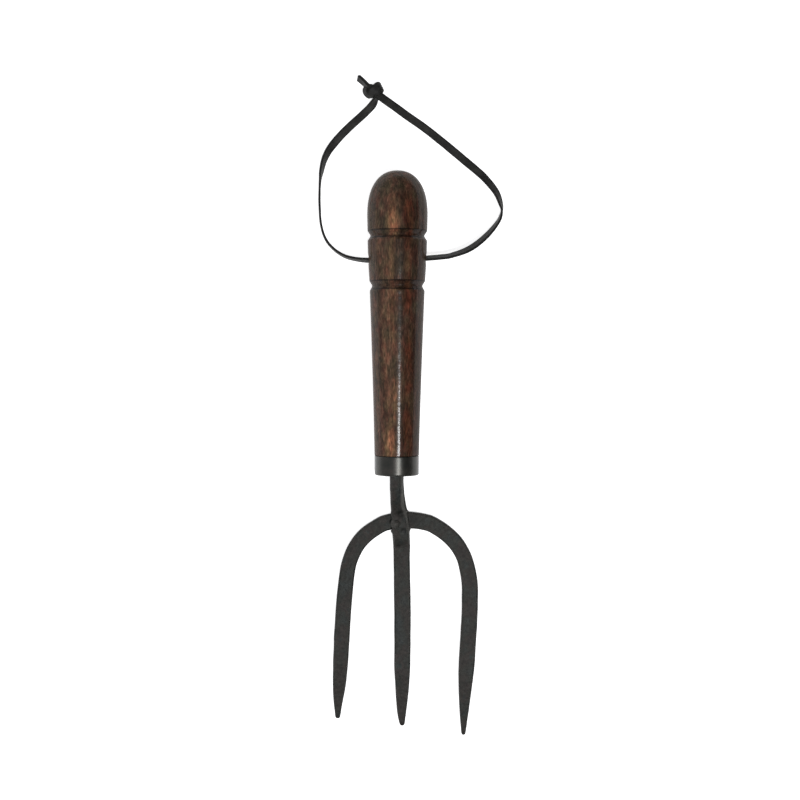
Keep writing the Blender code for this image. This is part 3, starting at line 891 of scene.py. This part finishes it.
arch_rows = [tuple(row) for row in smooth_stations(ARCH_ROUTE, 1.0)]
arch_rows[1:1] = [
    tuple(Vector(arch_rows[0]).lerp(Vector(arch_rows[1]), share)) for share in (0.1, 0.25, 0.5)
]
arch_rows[-1:-1] = [
    tuple(Vector(arch_rows[-1]).lerp(Vector(arch_rows[-2]), share)) for share in (0.5, 0.25, 0.1)
]
outer = made_by(
    bar_maker, path_mesh("arch_path", level_stations(arch_rows)), "outer_tines_bar",
    section=iron_section, dent_depth=0.0003, dent_size=0.0065, seed=4.2, finish=iron,
)
# Painted shade on the arch where it runs under the pad, beside the middle tine.
press(outer, ((-8.2, -33.0, 2.4, 0.1, 0.5), (4.4, -33.8, 3.0, 0.1, 0.6)))
tidy_faces(outer, 60.0)
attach(outer, "fork")
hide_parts("outer_tines")

# ----------------------------------------------------------
# The rivet: an iron pin hammered over to a low dome on the pad. It holds the two bars together, and
# its tail is hammered flush into a countersink underneath.
# ----------------------------------------------------------
# The dome, from its rim in the pad to its top, and how far it spreads and is dented.
HEAD_DEPTH, HEAD_RISE, HEAD_SPREAD, HEAD_UNDER, HEAD_DENT, HEAD_STEPS = 2.15, 1.95, 0.35, 0.6, 0.22, 12
PIN_RADIUS, SINK_RADIUS, SINK_TOP, TAIL_END = 1.15, 2.0, 1.0, 0.15
rivet_low, rivet_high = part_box("rivet")
rivet_at = (rivet_low + rivet_high) / 2
head_radius = (rivet_high.x - rivet_low.x) / 2 / MM
head_seat = rivet_high.z / MM - HEAD_DEPTH
head_line = []
for step in range(HEAD_STEPS + 1):
    out = math.sin(math.pi / 2 * step / HEAD_STEPS)
    rise = HEAD_RISE * (1.0 - out * out) ** 1.3
    head_line.append(Vector((out * (head_radius + HEAD_SPREAD), head_seat + rise)))
head_line += [Vector(point) for point in (
    (head_radius + 0.3, head_seat - 0.35), (PIN_RADIUS, head_seat - HEAD_UNDER), (PIN_RADIUS, SINK_TOP),
    (SINK_RADIUS, TAIL_END), (0.0, TAIL_END),
)]
rivet = made_by(
    lathe, profile_mesh("rivet_outline", head_line, 0.5), "rivet_pin", steps_around=36, finish=iron
)
for vertex in rivet.data.vertices:
    if vertex.co.z / MM > head_seat - HEAD_UNDER:
        swell = noise.noise(vertex.co / MM * 0.55 + Vector((3.0, 1.0, 5.0)))
        vertex.co += vertex.normal * swell * HEAD_DENT * MM
rivet.data.transform(Matrix.Translation((rivet_at.x, rivet_at.y, 0.0)))
write_attribute(rivet.data, "lightened", "FLOAT", [0.35] * len(rivet.data.vertices))
tidy_faces(rivet, 50.0)
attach(rivet, "fork")
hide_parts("rivet")

# ----------------------------------------------------------
# The thong: one flat lace of black leather, 4.3 mm wide, threaded through the cross bore. It leaves
# each mouth on its edge, twists over until it lies flat on the table, and both ends are tied together
# in one overhand knot.
# ----------------------------------------------------------
LACE_HALF_WIDTH, LACE_HALF_THICKNESS, LACE_CHAMFER = 2.15, 0.60, 0.22
# (x, y, centre height, roll in degrees): flat at 0 and 180, on edge at 90.
LEFT_ROUTE = (
    (-4.7, 104.2, 15.45, 68), (-12.0, 104.0, 15.40, 69), (-20.0, 103.8, 15.10, 70),
    (-26.2, 104.4, 14.40, 76), (-32.2, 106.1, 13.10, 81), (-37.8, 109.8, 11.20, 86),
    (-42.4, 115.3, 9.20, 87), (-45.1, 123.4, 6.90, 87), (-46.1, 134.4, 4.60, 86),
    (-46.2, 142.0, 3.40, 86), (-45.9, 148.6, 2.75, 91), (-45.4, 152.2, 2.50, 106),
    (-44.1, 158.2, 2.10, 119), (-42.5, 162.2, 1.85, 131), (-40.2, 166.0, 1.65, 147),
    (-35.4, 171.9, 1.30, 169), (-29.0, 178.3, 1.00, 180), (-21.9, 184.7, 1.25, 182),
    (-18.0, 188.6, 1.90, 156), (-16.2, 191.4, 2.70, 122), (-15.4, 193.4, 3.05, 106),
    (-16.0, 195.4, 3.20, 100),
)
RIGHT_ROUTE = (
    (-4.1, 104.3, 15.45, 65), (3.5, 104.5, 15.42, 61), (11.4, 104.9, 15.20, 57),
    (18.0, 105.5, 14.70, 57), (24.0, 106.4, 13.90, 56), (34.3, 110.4, 11.60, 48),
    (43.5, 117.8, 8.60, 54), (49.8, 125.7, 6.10, 71), (51.6, 130.6, 4.85, 89),
    (51.4, 134.6, 4.10, 115), (48.9, 141.6, 3.10, 139), (43.0, 149.2, 2.10, 156),
    (38.0, 153.9, 1.55, 167), (32.1, 158.9, 1.15, 178), (20.5, 168.6, 0.95, 180),
    (10.2, 176.7, 1.00, 180), (0.7, 183.3, 1.25, 178), (-5.9, 188.0, 1.80, 176),
    (-11.6, 191.9, 2.60, 170), (-14.4, 193.9, 3.10, 166), (-16.4, 195.3, 3.30, 166),
)


def lace_leather():
    material, tree, shader = finish_tree("black_lace_leather")
    at = in_millimetres(tree)
    rub = noise_at(tree, at, (5.0, 5.0, 5.0), detail=4.0, roughness=0.6, shift=1.0)
    colour = ramp(
        tree, rub,
        (0.30, (0.016, 0.0155, 0.015)), (0.50, (0.026, 0.0255, 0.024)), (0.70, (0.042, 0.041, 0.038)),
    )
    grain = add_node(
        tree, "ShaderNodeTexVoronoi", {"Vector": at, "Scale": 2.6}, feature="DISTANCE_TO_EDGE"
    ).outputs["Distance"]
    fine = noise_at(tree, at, (0.5, 0.5, 0.5), shift=3.0)
    colour = shaded(tree, colour, fine, (0.3, 0.70), (0.7, 1.30))
    cut_edge = math_node(tree, "MULTIPLY", marked(tree, "edge"), 0.7)
    colour = mixed(tree, cut_edge, colour, (0.007, 0.0065, 0.006))
    creases = ramp(tree, grain, (0.0, 0.0), (0.12, 0.4))
    add_bump(tree, shader, math_node(tree, "ADD", creases, fine), 0.3, 0.00015)
    feed_all(tree, shader, {
        "Base Color": colour, "Roughness": ramp(tree, rub, (0.30, 0.42), (0.70, 0.56)),
        "Specular IOR Level": 0.14,
    })
    return material


def lace_stations(rows):
    """Stations of the lace from (x, y, z, roll) rows: rolled about its own run from lying flat."""
    stations = []
    for i, (x, y, z, roll) in enumerate(rows):
        before, after = Vector(rows[max(i - 1, 0)][:3]), Vector(rows[min(i + 1, len(rows) - 1)][:3])
        along = (after - before).normalized()
        level = along.cross(Vector((0.0, 0.0, 1.0))).normalized()
        lift = level.cross(along)
        turn = math.radians(roll)
        across = level * math.cos(turn) + lift * math.sin(turn)
        up = across.cross(along).normalized()
        stations.append((
            Vector((x, y, z)), across, up, LACE_HALF_WIDTH, LACE_HALF_THICKNESS, LACE_CHAMFER
        ))
    return stations


leather = lace_leather()
lace_section = bar_section("lace_section", flat_parts=7, edge_parts=3, round_cut=0.12)
# Each lace comes out of its mouth at this row of its route. While a route is smoothed, its roll is
# divided by ROLL_SHARE, so that it hardly counts as a way along the lace.
EXIT_ROW, ROLL_SHARE = 2, 10.0
for name, node, route in (
    ("left_lace", "thong_left_run", LEFT_ROUTE), ("right_lace", "thong_right_run", RIGHT_ROUTE)
):
    rolls = [(x, y, z, roll / ROLL_SHARE) for x, y, z, roll in route]
    rows = [(x, y, z, roll * ROLL_SHARE) for x, y, z, roll in smooth_stations(rolls, 1.0)]
    lace = made_by(
        bar_maker, path_mesh(name + "_path", lace_stations(rows)), name, section=lace_section,
        dent_depth=0.0001, dent_size=0.004, seed=2.4, finish=leather,
    )
    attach(lace, "thong")
    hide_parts(node)

# The knot and the two tails: both laces go in together at the lower right, under the knot's front
# band, round its left side and underneath, come up on the right, cross the front as that band, and
# leave at the upper left in two short square-cut tails that lie face to face, half on edge.
KNOT_HEIGHT = 3.3
knot_low, knot_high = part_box("thong_knot")
knot_centre = (knot_low + knot_high) / 2 / MM
knot_centre.z = KNOT_HEIGHT
# (x, y, z from the knot's centre, then the way the lace's face looks, then its half width).
KNOT_ROUTE = (
    (2.6, -2.6, -0.9, 0.1, 0.1, 1.0, 2.0),
    (1.0, -0.7, -0.6, 0.1, 0.1, 1.0, 1.9),
    (-0.9, 1.1, 0.2, -0.2, 0.5, 1.0, 1.8),
    (-2.6, 1.6, 0.6, -0.6, 0.9, 0.9, 1.8),
    (-3.7, 0.3, 0.7, -1.0, 0.2, 0.9, 1.8),
    (-3.3, -1.4, 0.5, -1.0, -0.7, 0.8, 1.8),
    (-1.7, -2.6, -0.1, -0.4, -1.0, 0.5, 1.8),
    (0.5, -2.6, -1.2, 0.1, -0.9, -0.5, 1.8),
    (2.6, -1.2, -2.0, 0.6, -0.2, -1.0, 1.9),
    (4.0, 0.7, -1.0, 1.0, 0.5, -0.2, 2.2),
    (4.0, 1.5, 0.5, 0.9, 0.6, 0.6, 2.5),
    (2.8, 1.2, 1.8, 0.3, 0.2, 1.0, 2.6),
    (1.2, -0.2, 2.2, 0.0, -0.1, 1.0, 2.5),
    (-0.3, -1.6, 1.8, -0.3, -0.5, 1.0, 2.2),
    (-1.3, -2.7, 0.4, -0.5, -0.9, 0.1, 1.8),
    (-1.2, -1.9, -1.3, -0.2, -0.6, -0.9, 1.7),
    (-0.9, -0.3, -1.1, 0.4, 0.5, -0.9, 1.7),
    (-1.5, 0.8, 0.3, 0.8, 0.6, -0.3, 1.7),
    (-3.0, 2.2, 1.0, 0.72, 0.70, -0.35, 1.9),
    (-5.2, 4.4, 0.1, 0.72, 0.70, -0.50, 2.05),
    (-7.9, 7.0, -1.0, 0.72, 0.70, -0.55, 2.1),
)
# The left lace lies under the right one, and a little to its side.
LAYER_HEIGHT, LAYER_SHIFT = 0.46, 0.35
rows = smooth_stations(KNOT_ROUTE, 0.4)
for name, layer, nodes in (
    ("left_lace_end", -1, ("thong_knot", "thong_tail_lower")),
    ("right_lace_end", 1, ("thong_tail_upper",)),
):
    stations = []
    for i, row in enumerate(rows):
        before, after = Vector(rows[max(i - 1, 0)][:3]), Vector(rows[min(i + 1, len(rows) - 1)][:3])
        along = (after - before).normalized()
        face = Vector(row[3:6])
        face = (face - along * face.dot(along)).normalized()
        across = along.cross(face).normalized()
        centre = knot_centre + Vector(row[:3]) + (face * LAYER_HEIGHT + across * LAYER_SHIFT) * layer
        lowest = abs(across.z) * row[6] + abs(face.z) * LACE_HALF_THICKNESS
        centre.z = max(centre.z, lowest)
        stations.append((centre, across, face, row[6], LACE_HALF_THICKNESS, LACE_CHAMFER))
    end = made_by(
        bar_maker, path_mesh(name + "_path", stations), name, section=lace_section,
        dent_depth=0.00012, dent_size=0.0035, seed=6.1, finish=leather,
    )
    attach(end, "thong")
    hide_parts(*nodes)

for outline in (iron_section, lace_section):
    bpy.data.objects.remove(outline)

# ----------------------------------------------------------
# The table, the light and the camera: a white table top, one small bright lamp above the front right,
# a room that is brighter on the left, with a pale backdrop, and a camera that looks straight down on
# the fork's middle.
# ----------------------------------------------------------
low, high = cad_box
middle_point = (low + high) / 2
TABLE_REACH = 2.5
table_corners = [(x * TABLE_REACH, y * TABLE_REACH, 0) for x, y in ((-1, -1), (1, -1), (1, 1), (-1, 1))]
table_mesh = bpy.data.meshes.new("table_top")
table_mesh.from_pydata(table_corners, [], [(0, 1, 2, 3)])
table_top = new_object("table_top", table_mesh)
table_paint, tree, shader = finish_tree("white_table_paint")
where = tree.nodes.new("ShaderNodeTexCoord").outputs["Object"]
mottle = add_node(tree, "ShaderNodeTexNoise", {"Vector": where, "Scale": 6.0, "Detail": 2.0}).outputs[0]
feed_all(tree, shader, {
    "Base Color": ramp(tree, mottle, (0.3, 0.93), (0.7, 0.95)), "Roughness": 0.9,
    "Specular IOR Level": 0.2,
    "Emission Color": (1.0, 1.0, 1.0, 1.0), "Emission Strength": 0.78,
})
table_mesh.materials.append(table_paint)

LAMP_AT, LAMP_SIZE, LAMP_POWER = Vector((0.22, -0.285, 1.5)), (0.34, 0.12), 12.8
lamp_data = bpy.data.lights.new("small_bright_lamp", "AREA")
lamp_data.shape = "RECTANGLE"
lamp_data.size, lamp_data.size_y = LAMP_SIZE
lamp_data.energy = LAMP_POWER
lamp = new_object("small_bright_lamp", lamp_data)
lamp.location = LAMP_AT
lamp_way = LAMP_AT - Vector((middle_point.x, middle_point.y, 0.0))
lamp.rotation_euler = lamp_way.to_track_quat("Z", "Y").to_euler()

# The room is brighter on the left, where its window is, than on the right.
world = bpy.data.worlds.new("studio")
world.use_nodes = True
room = world.node_tree
way = axes_of(room, room.nodes.new("ShaderNodeTexCoord").outputs["Generated"])
side = add_node(
    room, "ShaderNodeMapRange",
    {"Value": way["X"], "From Min": -0.7, "From Max": 0.55},
    interpolation_type="SMOOTHSTEP",
).outputs[0]
room.links.new(
    ramp(room, side, (0.0, (0.50, 0.51, 0.53)), (0.5, (0.32, 0.33, 0.34)), (0.72, (0.05, 0.05, 0.055))),
    room.nodes["Background"].inputs["Color"],
)
# Only the camera sees the backdrop; the fork is lit by the room.
backdrop = add_node(room, "ShaderNodeBackground", {"Color": (0.90, 0.90, 0.91, 1.0)})
seen = room.nodes.new("ShaderNodeLightPath").outputs["Is Camera Ray"]
choice = add_node(
    room, "ShaderNodeMixShader",
    {0: seen, 1: room.nodes["Background"].outputs[0], 2: backdrop.outputs[0]},
)
room.links.new(choice.outputs[0], room.nodes["World Output"].inputs["Surface"])
bpy.context.scene.world = world
bpy.context.scene.view_settings.view_transform = "Standard"

CAMERA_HEIGHT, CAMERA_LENS, CAMERA_ASIDE, CAMERA_AHEAD = 0.745, 62.0, -5.57, 2.72
camera_data = bpy.data.cameras.new("camera")
camera_data.lens = CAMERA_LENS
camera_data.sensor_width = 36.0
camera_data.clip_start, camera_data.clip_end = 0.01, 20.0
camera = new_object("camera", camera_data)
camera.location = (
    middle_point.x + CAMERA_ASIDE * MM, middle_point.y + CAMERA_AHEAD * MM, CAMERA_HEIGHT
)
bpy.context.scene.camera = camera
